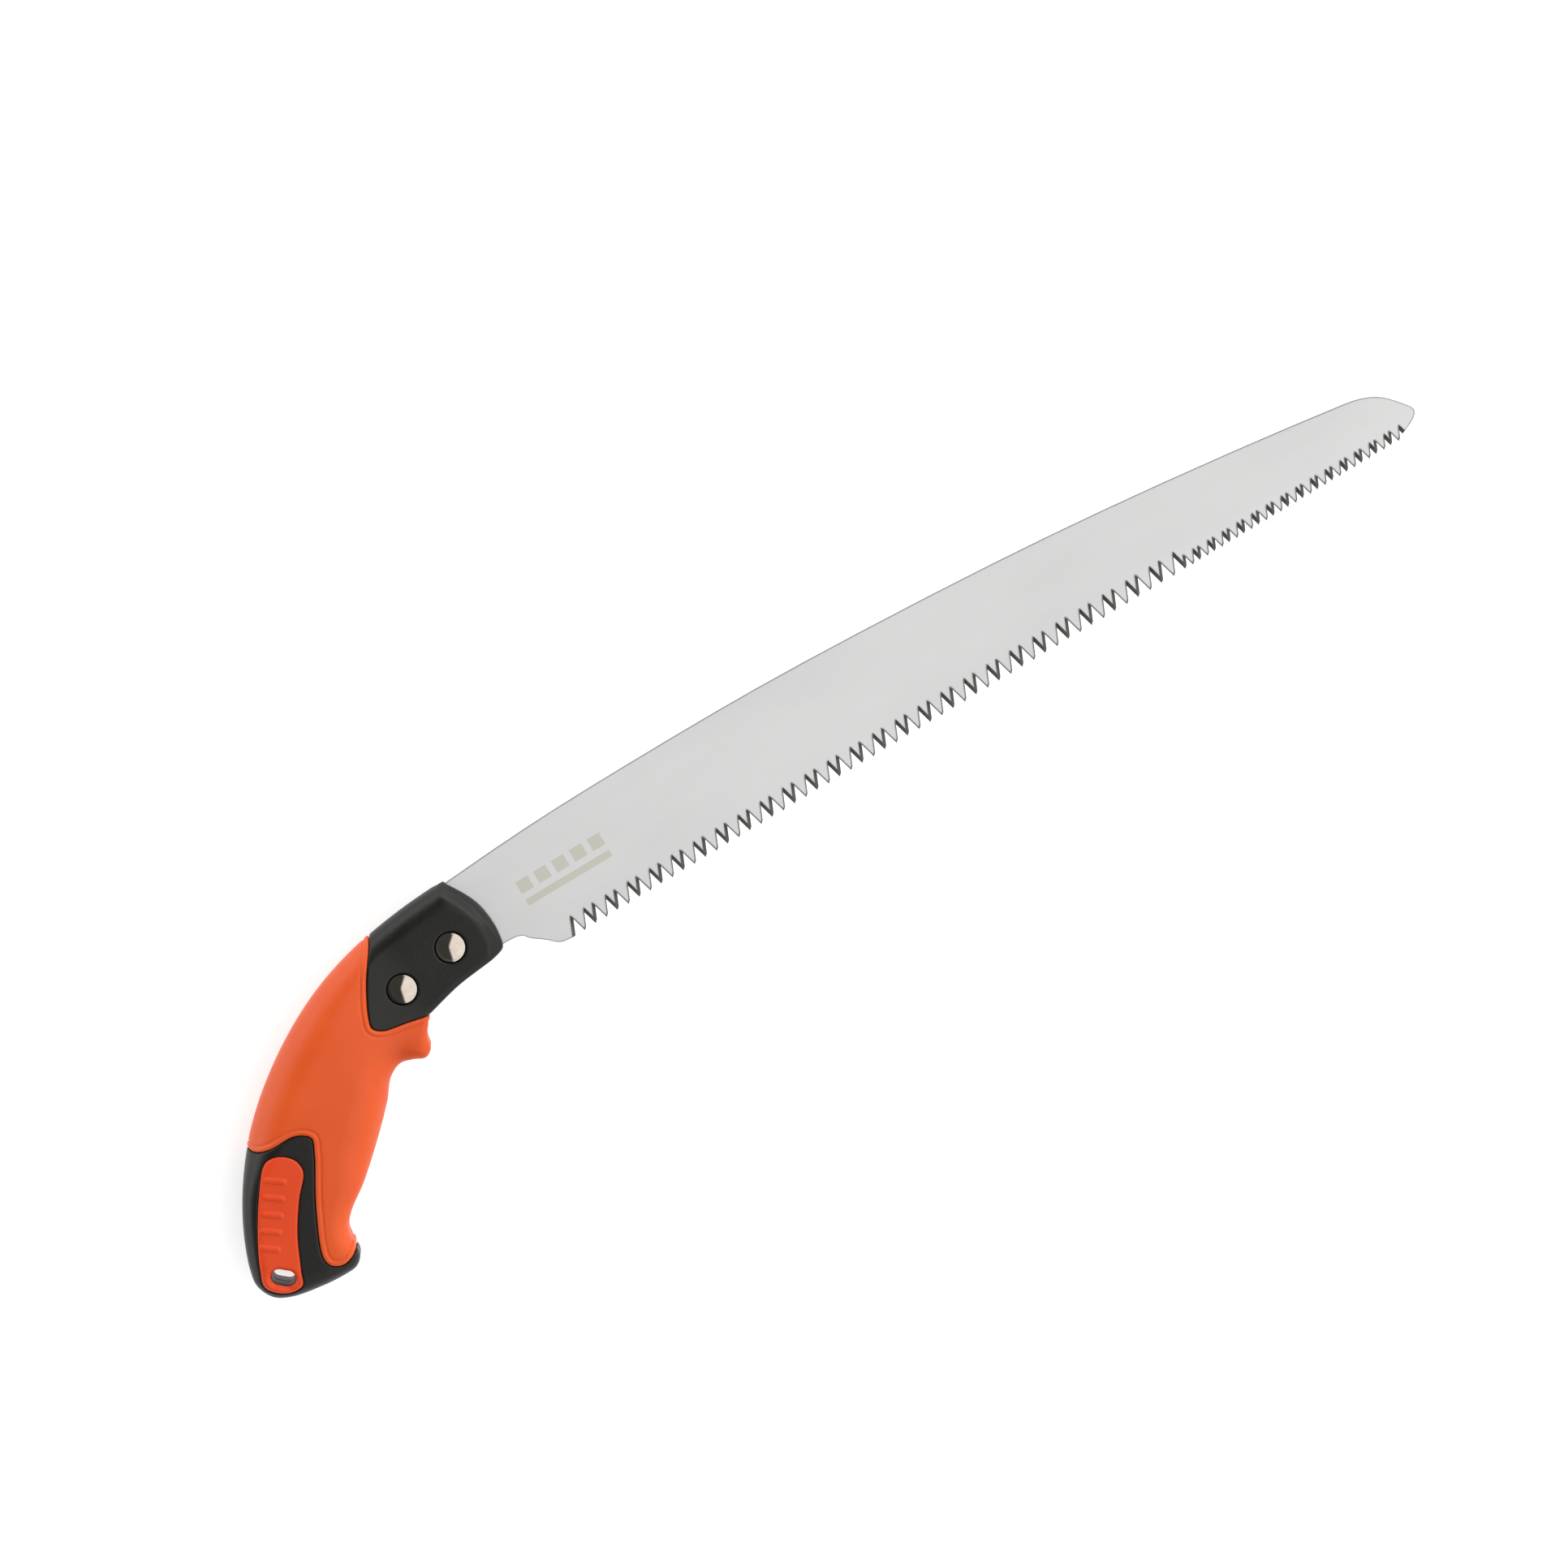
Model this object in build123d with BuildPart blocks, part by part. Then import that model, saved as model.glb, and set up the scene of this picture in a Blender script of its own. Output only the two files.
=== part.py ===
"""Pruning saw with a pistol-grip handle and a bolted, replaceable 300 mm blade.

The saw is drawn lying on its side. +X runs along the tooth line towards the tip, +Y points from
the teeth to the back of the blade and +Z is the side with the domed nuts. Shapes are drawn from
the front bolt's axis, at the middle of the blade's thickness. The finished pieces are then moved
together, so that the origin is at the middle of the underside of the saw's bounding box.
All sizes are in millimetres.
"""

from build123d import *
import math
import os

# ---------------------------------------------------------------- driving dimensions
# Blade
blade_thickness = 1.3
tooth_line = -17.4  # height of the tooth tips, measured from the front bolt
first_tooth = 33.9  # from the front bolt along the blade
nose_length = 6.3  # from the last tooth to the very tip

# Teeth: coarse along most of the blade, finer near its tip
coarse_pairs = 27
coarse_pitch = 3.915
pitch_growth = 0.0059  # each coarse tooth is this much further on than the one before it
fine_teeth = 30
fine_pitch = 2.64
tooth_land = 0.58  # flat between the two flanks of a tooth, before the third bevel
back_slope = 0.27  # sideways run of a flank for each millimetre of height
front_slope = 0.43
flank_shear = 0.56  # how far the slanted file cut moves between mid-thickness and a face
gullet_floor = 0.10
facet_run = 0.95
facet_rise = 0.87

# Handle
handle_length = 120.35  # along the tooth line, from the bolster's front to the end of the butt
bolster_half = 7.8  # half thickness where the blade is clamped
grip_half = 12.0
butt_half = 11.0
edge_round = 2.2
sleeve_wall = 2.4
core_wall = 2.4
rib_width = 2.2
hollow_start = -35  # the core is solid from here to the front, around the tang
slot_clearance = 0.05  # each side of the tang
tang_clearance = 0.25  # around the tang's outline
inlay_depth = 1.6
inlay_proud = 0.15
inlay_clearance = 0.05
lanyard_length = 7.4
lanyard_width = 4.6

# Fasteners
thread_diameter = 4.0
thread_clearance = 0.04
sleeve_diameter = 6.0  # barrel of the domed nut
barrel_clearance = 0.08
blade_hole_clearance = 0.15
neck_step = 0.8  # keyed neck of the nut, larger than its barrel by this all round
flat_step = 0.2
neck_depth = 3.0
head_step = 0.8  # head of the nut, larger than its neck by this all round
nut_rim = 0.9
nut_dome = 1.5
nut_seat_depth = 1.5
screw_head_diameter = 9.0
screw_head_height = 2.0
washer_step = 0.2  # washer, larger than the screw head by this all round
washer_thickness = 0.8
seat_clearance = 0.25
thread_gap = 0.8  # between the end of the nut's barrel and the washer
screw_tip_gap = 1.2  # between the screw's end and the bottom of the nut's bore
driver_slot_width = 1.2
driver_slot_length = 5.2
driver_slot_depth = 1.3
head_chamfer = 0.5
tip_chamfer = 0.4
nut_roof = 0.8  # solid metal over the nut's bore, below its seat

# Alignment dowels moulded on one half of the core
dowel_diameter = 4.0
dowel_height = 3.0
dowel_clearance = 0.1
boss_diameter = 8.4
boss_rib_length = 80

# How far cutting and trimming shapes reach past the saw
cut_over = 0.4
past_handle = 140
past_hollow = 200
butt_limit = -112
front_limit = 20

bolts = [(0, 0), (-19.3, -3.4)]
rib_angles = [125, 140, 160]
lanyard_angle = -41

# ---------------------------------------------------------------- worked-out sizes
drawn_length = 120.35  # the handle length that the points below are given for
neck_diameter = sleeve_diameter + 2 * neck_step
neck_flats = sleeve_diameter + 2 * flat_step
nut_head_diameter = neck_diameter + 2 * head_step
washer_diameter = screw_head_diameter + 2 * washer_step
head_floor = bolster_half - nut_seat_depth
washer_floor = -(bolster_half - screw_head_height - washer_thickness)
head_back = washer_floor - washer_thickness
barrel_end = washer_floor + thread_gap
inlay_floor = butt_half - inlay_depth
bore_end = head_floor - nut_roof
screw_end = bore_end - screw_tip_gap
tang_half = blade_thickness / 2 + slot_clearance


def sized(*points):
    """Points of the handle, moved out or in with its length."""
    return [(x * handle_length / drawn_length, y * handle_length / drawn_length) for x, y in points]


def sized_x(x):
    """A distance along the handle, moved out or in with its length."""
    return x * handle_length / drawn_length


dowels = sized((-43, -7), (-62, -28), (-80, -56))
lanyard_centre = sized((-96.4, -60.5))[0]


# ---------------------------------------------------------------- outlines
def handle_outline():
    """Silhouette of the whole handle, seen from the side."""
    with BuildLine() as outline:
        back = Spline(sized((8.4, 18.6), (-8, 17.5), (-24, 15.0), (-40, 10.4), (-56, 2.8),
                            (-72, -8.0), (-84, -19.0), (-93, -30.5), (-100.3, -43.2), (-104.6, -54.5)))
        heel = Spline([back @ 1, *sized((-105.2, -59.3), (-102.6, -64.6), (-97.5, -67.5), (-88, -69.4))],
                      tangents=[back % 1, (10, -1.4)])
        toe = Spline([heel @ 1, *sized((-80, -70.0), (-75.6, -69.6), (-73.0, -67.3), (-72.3, -63.2),
                                       (-71.9, -58.6))], tangents=[heel % 1, (0.35, 2)])
        front = Spline([toe @ 1, *sized((-68.4, -54.2), (-60, -48.1), (-50, -39.4), (-41.5, -31.0))],
                       tangents=[toe % 1, (1, 1.08)])
        finger = Spline([front @ 1, *sized((-36.8, -25.3), (-32.0, -23.0), (-27.6, -23.9))],
                        tangents=[front % 1, (3, -1.4)])
        horn = Spline([finger @ 1, *sized((-24.0, -25.2), (-21.4, -23.6), (-20.3, -19.8),
                                          (-16.3, -14.5))], tangents=[finger % 1, (4, 1.2)])
        belly = Spline([horn @ 1, *sized((-4, -11.5), (11.6, -9.5))], tangents=[horn % 1, (8, 0.4)])
        lip = Spline([belly @ 1, *sized((13.8, -8.4), (14.6, -5.8))], tangents=[belly % 1, (0.4, 3)])
        Spline([lip @ 1, *sized((15.1, 0), (13.5, 9.0)), back @ 0], tangents=[lip % 1, (-4.6, 7)])
    return outline.line


def sleeve_outline():
    """Side view of the soft grip: inside both parting lines and well past the silhouette."""
    with BuildLine() as outline:
        upper = Spline(sized((-18.6, 19.0), (-20.5, 14.4), (-27.8, 3.8), (-32.6, -5.5)))
        nose = Spline([upper @ 1, *sized((-33.3, -8.7), (-31.0, -11.0))],
                      tangents=[upper % 1, (4, -0.8)])
        Polyline(nose @ 1, *sized((-16.3, -14.5), (-8, -16.5), (-8, -48), (-60, -60), (-70.0, -62.2)))
        tail = Spline(sized((-70.0, -62.2), (-74.8, -65.9), (-78.6, -66.7), (-82.0, -64.8),
                            (-82.7, -61.4)))
        rise = Spline([tail @ 1, *sized((-76.6, -47.0), (-68.1, -32.0))],
                      tangents=[tail % 1, (1, 1.75)])
        corner = Spline([rise @ 1, *sized((-66.7, -27.9), (-70.6, -24.9))],
                        tangents=[rise % 1, (-4, 0)])
        end = Spline([corner @ 1, *sized((-80.0, -24.5), (-84.3, -22.9), (-87.4, -18.0))],
                     tangents=[corner % 1, (-1, 4)])
        Polyline(end @ 1, *sized((-87.4, 19.0)), upper @ 0)
    return outline.line


def inlay_outline():
    """Side view of the coloured plate let into the butt."""
    with BuildLine() as outline:
        Spline(sized((-85.2, -28.0), (-82.4, -27.1), (-78.0, -28.0), (-74.3, -31.6), (-74.1, -35.6),
                     (-79.4, -42.0), (-85.6, -51.2), (-90.6, -61.6), (-92.6, -65.7), (-97.6, -65.6),
                     (-102.9, -60.6), (-101.6, -55.0), (-96.6, -44.8), (-90.0, -34.3)), periodic=True)
    return outline.line


def tang_outline():
    """The part of the blade that is clamped in the handle, drawn on into the blade."""
    with BuildLine() as outline:
        Polyline((20, 17.2), (8, 16.2), (-6, 10.6), (-27, 4.0))
        RadiusArc((-27, 4.0), (-27, -9.0), -7.2)
        Polyline((-27, -9.0), (14, -8.0), (20, -8.0), (20, 17.2))
    return outline.line


def blade_outline():
    """The blade in front of the handle, as a blank before its teeth are cut."""
    last_tooth = tooth_positions()[-1]
    reach = last_tooth + nose_length
    toothed = last_tooth - first_tooth
    heights = ((0.02, 19.2), (0.15, 19.8), (0.29, 19.4), (0.42, 17.7), (0.555, 15.1), (0.69, 11.5),
               (0.82, 7.0), (0.963, 1.1))
    with BuildLine() as outline:
        spine = [(first_tooth + share * toothed, height) for share, height in heights]
        back = Spline([(6, 17.2), *spine], tangents=[(34, 2.4), (10, -1.5)])
        nose = Spline([back @ 1, (reach - 7.2, -2.6), (reach - 1.6, -8.4), (reach, -11.6),
                       (reach - 1.9, -13.8), (last_tooth, -15.9)], tangents=[back % 1, (-5, -2.6)])
        Line(nose @ 1, (last_tooth - 2.2, tooth_line))
        Line((last_tooth - 2.2, tooth_line), (first_tooth, tooth_line))
        heel = Spline((first_tooth, tooth_line), (29.2, -16.5), (26.6, -14.2), (22.0, -10.6),
                      (14.6, -8.0), tangents=[(-4, 0.5), (-7, 0)])
        Line(heel @ 1, (6, -8.1))
        Line((6, -8.1), back @ 0)
    return outline.line


def thickness_outline(inset):
    """Edge view of the handle: thin at the bolster, full at the grip, a little less at the butt."""
    with BuildLine() as outline:
        middle = 0.55 * bolster_half + 0.45 * grip_half
        swell = Spline((sized_x(-16), bolster_half - inset), (sized_x(-30), middle - inset),
                       (sized_x(-50), grip_half - inset), tangents=[(-1, 0), (-1, 0)])
        fade = Spline((sized_x(-64), grip_half - inset), (sized_x(-98), butt_half - inset),
                      tangents=[(-1, 0), (-1, 0)])
        Line(swell @ 1, fade @ 0)
        end, start = sized_x(butt_limit), sized_x(front_limit)
        Polyline(fade @ 1, (end, butt_half - inset), (end, 0), (start, 0),
                 (start, bolster_half - inset), swell @ 0)
    return outline.line


def tooth_positions():
    """Distance of each tooth tip from the front bolt, handle end first."""
    places = [first_tooth]
    for number in range(2 * coarse_pairs):
        places.append(places[-1] + coarse_pitch + pitch_growth * number)
    for number in range(fine_teeth):
        places.append(places[-1] + fine_pitch)
    return places


# ---------------------------------------------------------------- shared solids
with BuildSketch() as handle_face:
    with BuildLine():
        add(handle_outline())
    make_face()


def inset_face(face, amount):
    """The same face with its outline moved in by an amount, or out where it is negative."""
    with BuildSketch() as inset:
        add(face)
        offset(amount=-amount, kind=Kind.ARC)
    return inset.sketch.to_splines()


neck_face = inset_face(handle_face.sketch, sleeve_wall)
with BuildSketch() as hollow_face:
    add(inset_face(handle_face.sketch, sleeve_wall + core_wall))
    with Locations((sized_x(hollow_start), 0)):
        Rectangle(past_hollow, past_hollow, align=(Align.MIN, Align.CENTER), mode=Mode.SUBTRACT)
    for place, angle in zip(dowels, rib_angles):
        with Locations(place):
            Rectangle(boss_rib_length, rib_width, rotation=angle, mode=Mode.SUBTRACT)
            Circle(boss_diameter / 2, mode=Mode.SUBTRACT)
    with Locations(lanyard_centre):
        Circle(lanyard_length / 2 + core_wall, mode=Mode.SUBTRACT)

with BuildSketch() as sleeve_face:
    with BuildLine():
        add(sleeve_outline())
    make_face()

with BuildSketch() as inlay_face:
    with BuildLine():
        add(inlay_outline())
    make_face()

with BuildSketch() as blank_face:
    with BuildLine():
        add(blade_outline())
    make_face()
    with BuildLine():
        add(tang_outline())
    make_face()

tang_pocket = inset_face(blank_face.sketch, -tang_clearance)


def thickness_face(inset):
    """Edge view of the handle as a closed face, the same on both sides of the blade."""
    with BuildSketch(Plane.XZ.offset(-40)) as face:
        with BuildLine():
            add(thickness_outline(inset))
        make_face()
        mirror(about=Plane.XZ)
    return face.sketch


# Slot across the end of the butt for a cord
with BuildSketch() as lanyard_slot:
    with Locations(lanyard_centre):
        SlotOverall(lanyard_length, lanyard_width, rotation=lanyard_angle)


# Outside of the whole handle, with its long edges rounded
with BuildPart() as envelope:
    extrude(handle_face.sketch, amount=grip_half + 2, both=True)
    extrude(thickness_face(0), amount=past_handle, mode=Mode.INTERSECT)
    long_edges = envelope.edges().filter_by(lambda edge: abs(edge.center().Z) > bolster_half - 1)
    fillet(long_edges, radius=edge_round)

# The stem of the core that the soft grip is moulded over
with BuildPart() as neck:
    extrude(neck_face, amount=grip_half, both=True)
    extrude(thickness_face(sleeve_wall), amount=past_handle, mode=Mode.INTERSECT)

# Cavities that keep the core's walls even
with BuildPart() as hollow:
    extrude(hollow_face.sketch, amount=grip_half, both=True)
    extrude(thickness_face(sleeve_wall + core_wall), amount=past_handle, mode=Mode.INTERSECT)

# Both halves of the core as one solid, before the holes
with BuildPart() as core:
    add(envelope.part)
    extrude(sleeve_face.sketch, amount=grip_half + 2, both=True, mode=Mode.SUBTRACT)
    add(neck.part)
    add(hollow.part, mode=Mode.SUBTRACT)


# ---------------------------------------------------------------- blade
def gullet(left, right):
    """One file cut between two tooth tips, at mid-thickness, as a list of corners."""
    height = (right - left + 2 * flank_shear - tooth_land - gullet_floor) / (back_slope + front_slope)
    foot = left + tooth_land - flank_shear
    heel = right + flank_shear
    return [(foot - front_slope, -1), (foot + front_slope * height, height),
            (heel - back_slope * height, height), (heel + back_slope, -1)]


def third_bevel(tip):
    """Corners of the cut that bevels one tooth's point, on the tooth's wide face."""
    lead, reach, lift = 0.3, 1.2, 0.5
    run, rise = facet_run, facet_rise
    start = (tip - lead * run, -lead * rise)
    end = (tip + reach * run, reach * rise)
    return [start, end, (end[0] + lift * rise, end[1] - lift * run),
            (start[0] + lift * rise, start[1] - lift * run)]


def polygons(plane, shapes):
    """A sketch of closed polygons, each given by its corners above the tooth line."""
    with BuildSketch(plane) as sketch:
        for corners in shapes:
            with BuildLine():
                Polyline([(x, tooth_line + y) for x, y in corners], close=True)
            make_face()
    return sketch.sketch


def make_blade():
    """Flat blade with its tang, fixing holes and two alternating rows of ground teeth."""
    tips = tooth_positions()
    gaps = list(zip(tips[:-1], tips[1:]))
    cut_depth = blade_thickness + cut_over
    point_height = (4 * flank_shear - tooth_land) / (back_slope + front_slope)
    point_run = 2 * flank_shear - back_slope * point_height
    with BuildPart() as blade:
        extrude(blank_face.sketch, amount=blade_thickness / 2, both=True)
        with Locations(*bolts):
            Hole(sleeve_diameter / 2 + blade_hole_clearance)
        for side, turn in ((1, gaps[0::2]), (-1, gaps[1::2])):
            slant = side * 2 * flank_shear * cut_depth / blade_thickness
            start = Plane((-slant / 2, 0, cut_depth / 2))
            cuts = polygons(start, [gullet(left, right) for left, right in turn])
            extrude(cuts, amount=math.hypot(slant, cut_depth), dir=(slant, 0, -cut_depth),
                    mode=Mode.SUBTRACT)
        for side, wide in ((-1, tips[2:-1:2]), (1, tips[1:-1:2])):
            start = Plane((0, 0, side * blade_thickness / 2))
            cuts = polygons(start, [third_bevel(tip) for tip in wide])
            along = (point_run, point_height, -side * blade_thickness)
            extrude(cuts, amount=math.hypot(*along), dir=along, mode=Mode.SUBTRACT)
    blade.part.label = "blade"
    return blade.part


# ---------------------------------------------------------------- handle pieces
def half_core(side):
    """One moulded half of the core, still without what only this half has."""
    with BuildPart() as half:
        add(core.part)
        split(bisect_by=Plane.XY, keep=Keep.TOP if side > 0 else Keep.BOTTOM)
        extrude(tang_pocket, amount=side * tang_half, mode=Mode.SUBTRACT)
        with BuildSketch(Plane.XY.offset(side * inlay_floor)) as recess:
            add(inlay_face.sketch)
        extrude(recess.sketch, amount=side * grip_half, mode=Mode.SUBTRACT)
        extrude(lanyard_slot.sketch, amount=side * grip_half, mode=Mode.SUBTRACT)
    return half.part


with BuildPart() as core_right:
    add(half_core(1))
    with Locations(*[(x, y, head_floor) for x, y in bolts]):
        Cylinder(nut_head_diameter / 2 + seat_clearance, grip_half,
                 align=(Align.CENTER, Align.CENTER, Align.MIN), mode=Mode.SUBTRACT)
        Cylinder(sleeve_diameter / 2 + barrel_clearance, head_floor,
                 align=(Align.CENTER, Align.CENTER, Align.MAX), mode=Mode.SUBTRACT)
    with BuildSketch(Plane.XY.offset(head_floor)) as neck_sockets:
        with Locations(*bolts):
            Circle(neck_diameter / 2 + barrel_clearance)
            Rectangle(2 * neck_diameter, neck_flats + 2 * barrel_clearance, mode=Mode.INTERSECT)
    extrude(amount=-neck_depth - barrel_clearance, mode=Mode.SUBTRACT)
    with Locations(*[(x, y, 0) for x, y in dowels]):
        Cylinder(dowel_diameter / 2, 2 * dowel_height)
core_right.part.label = "core_right"

with BuildPart() as core_left:
    add(half_core(-1))
    with Locations(*[(x, y, washer_floor) for x, y in bolts]):
        Cylinder(washer_diameter / 2 + seat_clearance, grip_half,
                 align=(Align.CENTER, Align.CENTER, Align.MAX), mode=Mode.SUBTRACT)
        Cylinder(sleeve_diameter / 2 + barrel_clearance, -washer_floor,
                 align=(Align.CENTER, Align.CENTER, Align.MIN), mode=Mode.SUBTRACT)
    with Locations(*[(x, y, 0) for x, y in dowels]):
        Cylinder(dowel_diameter / 2 + dowel_clearance, 2 * (dowel_height + dowel_clearance),
                 mode=Mode.SUBTRACT)
core_left.part.label = "core_left"

with BuildPart() as grip_sleeve:
    add(envelope.part)
    extrude(sleeve_face.sketch, amount=grip_half + 2, both=True, mode=Mode.INTERSECT)
    add(neck.part, mode=Mode.SUBTRACT)
grip_sleeve.part.label = "grip_sleeve"


def make_inlay(side, label):
    """Coloured plate that fills the recess in one side of the butt."""
    with BuildPart() as inlay:
        with BuildSketch(Plane.XY.offset(side * inlay_floor)) as plate:
            add(inset_face(inlay_face.sketch, inlay_clearance))
        extrude(plate.sketch, amount=side * grip_half)
        extrude(thickness_face(-inlay_proud), amount=past_handle, mode=Mode.INTERSECT)
        extrude(lanyard_slot.sketch, amount=side * 2 * grip_half, mode=Mode.SUBTRACT)
    inlay.part.label = label
    return inlay.part


inlays = [make_inlay(1, "inlay_right"), make_inlay(-1, "inlay_left")]


# ---------------------------------------------------------------- fasteners
def make_nut(place, label):
    """Domed sleeve nut: low round head, keyed neck and a barrel through the blade."""
    with BuildPart() as nut:
        with BuildSketch(Plane.XZ) as profile:
            with BuildLine():
                Polyline((0, barrel_end), (sleeve_diameter / 2, barrel_end),
                         (sleeve_diameter / 2, head_floor), (nut_head_diameter / 2, head_floor),
                         (nut_head_diameter / 2, head_floor + nut_rim))
                TangentArc((0, head_floor + nut_rim + nut_dome),
                           (nut_head_diameter / 2, head_floor + nut_rim), tangent=(1, 0))
                Line((0, head_floor + nut_rim + nut_dome), (0, barrel_end))
            make_face()
        revolve(axis=Axis.Z)
        with BuildSketch(Plane.XY.offset(head_floor)) as neck_key:
            Circle(neck_diameter / 2)
            Rectangle(2 * neck_diameter, neck_flats, mode=Mode.INTERSECT)
        extrude(amount=-neck_depth)
        with Locations((0, 0, bore_end)):
            Cylinder(thread_diameter / 2 + thread_clearance, bore_end - barrel_end,
                     align=(Align.CENTER, Align.CENTER, Align.MAX), mode=Mode.SUBTRACT)
    nut_part = nut.part.moved(Location((*place, 0)))
    nut_part.label = label
    return nut_part


def make_screw(place, label):
    """Machine screw with a flat round head and a cross slot, put in from the other side."""
    with BuildPart() as screw:
        with Locations((0, 0, head_back)):
            Cylinder(screw_head_diameter / 2, screw_head_height,
                     align=(Align.CENTER, Align.CENTER, Align.MAX))
            Cylinder(thread_diameter / 2, screw_end - head_back,
                     align=(Align.CENTER, Align.CENTER, Align.MIN))
        rims = screw.edges().filter_by(GeomType.CIRCLE)
        chamfer(rims.sort_by(Axis.Z)[0], length=head_chamfer)
        chamfer(rims.sort_by(Axis.Z)[-1], length=tip_chamfer)
        with Locations((0, 0, head_back - screw_head_height)):
            Box(driver_slot_length, driver_slot_width, 2 * driver_slot_depth, mode=Mode.SUBTRACT)
            Box(driver_slot_width, driver_slot_length, 2 * driver_slot_depth, mode=Mode.SUBTRACT)
    screw_part = screw.part.moved(Location((*place, 0)))
    screw_part.label = label
    return screw_part


def make_washer(place, label):
    """Plain washer that spreads the screw head's load over the plastic core."""
    with BuildPart() as washer:
        with BuildSketch(Plane.XY.offset(head_back)):
            Circle(washer_diameter / 2)
            Circle(thread_diameter / 2 + thread_clearance, mode=Mode.SUBTRACT)
        extrude(amount=washer_thickness)
    washer_part = washer.part.moved(Location((*place, 0)))
    washer_part.label = label
    return washer_part


pieces = [make_blade(), core_right.part, core_left.part, grip_sleeve.part, *inlays]
for place, end in zip(bolts, ("front", "rear")):
    pieces.append(make_nut(place, f"domed_nut_{end}"))
    pieces.append(make_screw(place, f"screw_{end}"))
    pieces.append(make_washer(place, f"washer_{end}"))

# ---------------------------------------------------------------- place and write
boxes = [piece.bounding_box() for piece in pieces]
low = [min(getattr(box.min, axis) for box in boxes) for axis in "XYZ"]
high = [max(getattr(box.max, axis) for box in boxes) for axis in "XYZ"]
middle = Location((-(low[0] + high[0]) / 2, -(low[1] + high[1]) / 2, -low[2]))
print("front bolt axis is at", middle.position)
print("overall size", [round(top - bottom, 2) for top, bottom in zip(high, low)])

os.makedirs("parts", exist_ok=True)
for piece in pieces:
    export_step(piece.moved(middle), f"parts/{piece.label}.step")
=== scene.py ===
"""The looks of a pistol-grip pruning saw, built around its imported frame.

The handle's mouldings are made as implicit shapes: each is a field that is negative inside the
piece, worked out on a fine grid from a few drawn outlines and turned into a closed mesh. The
blade, screws and washers keep their frame meshes and get ground-steel finishes.

Shapes are drawn in millimetres from the front bolt's axis, at the middle of the blade. x runs
towards the tip, y towards the back of the blade and z towards the domed nuts.
"""

import logging  # noqa: E402
import math  # noqa: E402
from dataclasses import dataclass  # noqa: E402
from enum import Enum  # noqa: E402

import bpy  # noqa: E402
import numpy as np  # noqa: E402
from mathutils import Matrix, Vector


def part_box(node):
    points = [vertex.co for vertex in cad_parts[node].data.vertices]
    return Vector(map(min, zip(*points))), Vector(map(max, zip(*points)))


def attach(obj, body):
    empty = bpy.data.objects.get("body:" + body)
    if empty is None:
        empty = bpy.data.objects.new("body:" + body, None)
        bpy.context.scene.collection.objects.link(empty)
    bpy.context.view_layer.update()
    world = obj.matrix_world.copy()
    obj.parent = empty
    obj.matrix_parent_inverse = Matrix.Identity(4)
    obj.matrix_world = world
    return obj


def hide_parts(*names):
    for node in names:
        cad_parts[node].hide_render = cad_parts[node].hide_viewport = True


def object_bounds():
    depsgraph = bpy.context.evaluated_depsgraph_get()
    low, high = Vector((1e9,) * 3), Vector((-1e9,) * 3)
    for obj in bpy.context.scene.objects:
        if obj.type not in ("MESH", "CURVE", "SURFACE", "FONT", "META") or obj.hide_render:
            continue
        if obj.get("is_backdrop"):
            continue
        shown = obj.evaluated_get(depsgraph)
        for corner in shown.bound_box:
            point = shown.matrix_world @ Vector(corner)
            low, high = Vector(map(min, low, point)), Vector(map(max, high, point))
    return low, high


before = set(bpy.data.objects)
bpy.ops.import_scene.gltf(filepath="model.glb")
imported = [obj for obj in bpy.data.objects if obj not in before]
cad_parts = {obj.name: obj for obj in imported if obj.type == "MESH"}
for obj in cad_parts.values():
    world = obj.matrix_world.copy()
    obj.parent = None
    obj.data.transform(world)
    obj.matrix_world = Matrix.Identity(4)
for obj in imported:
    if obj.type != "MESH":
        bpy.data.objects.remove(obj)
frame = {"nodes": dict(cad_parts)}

import openvdb  # noqa: E402
from mathutils import Matrix, Vector  # noqa: E402

log = logging.getLogger("pruning_saw")

MILLIMETRE = 0.001
MOST_TRIANGLES = 185_000
MIX_FACTOR, MIX_BELOW, MIX_ABOVE, MIX_RESULT = 0, 6, 7, 2  # sockets of a colour mixing node
Point = tuple[float, float]
Colour = tuple[float, float, float]


class Side(Enum):
    """Which side of the blade a piece is on."""

    RIGHT = 1
    LEFT = -1


class End(Enum):
    """Which of the two bolts a fastener belongs to."""

    FRONT = "front"
    REAR = "rear"


# ------------------------------------------------------------------ place and small maths
@dataclass(frozen=True)
class Datum:
    """Where the drawing's origin is in the frame."""

    origin: Vector

    @classmethod
    def from_frame(cls) -> "Datum":
        """Finds the front bolt's axis and the blade's middle plane.

        Returns:
            The datum that every drawn shape is placed by.
        """
        nut_low, nut_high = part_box("domed_nut_front")
        blade_low, blade_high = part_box("blade")
        middle_z = (blade_low[2] + blade_high[2]) / 2
        centre_x = (nut_low[0] + nut_high[0]) / 2
        centre_y = (nut_low[1] + nut_high[1]) / 2
        return cls(Vector((centre_x, centre_y, middle_z)))

    def bolt(self, end: End) -> Point:
        """Gives a bolt's axis in the drawing.

        Args:
            end: The front or the rear bolt.

        Returns:
            Its x and y in millimetres.
        """
        low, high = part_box(f"domed_nut_{end.value}")
        x = ((low[0] + high[0]) / 2 - self.origin.x) / MILLIMETRE
        y = ((low[1] + high[1]) / 2 - self.origin.y) / MILLIMETRE
        return x, y


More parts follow.
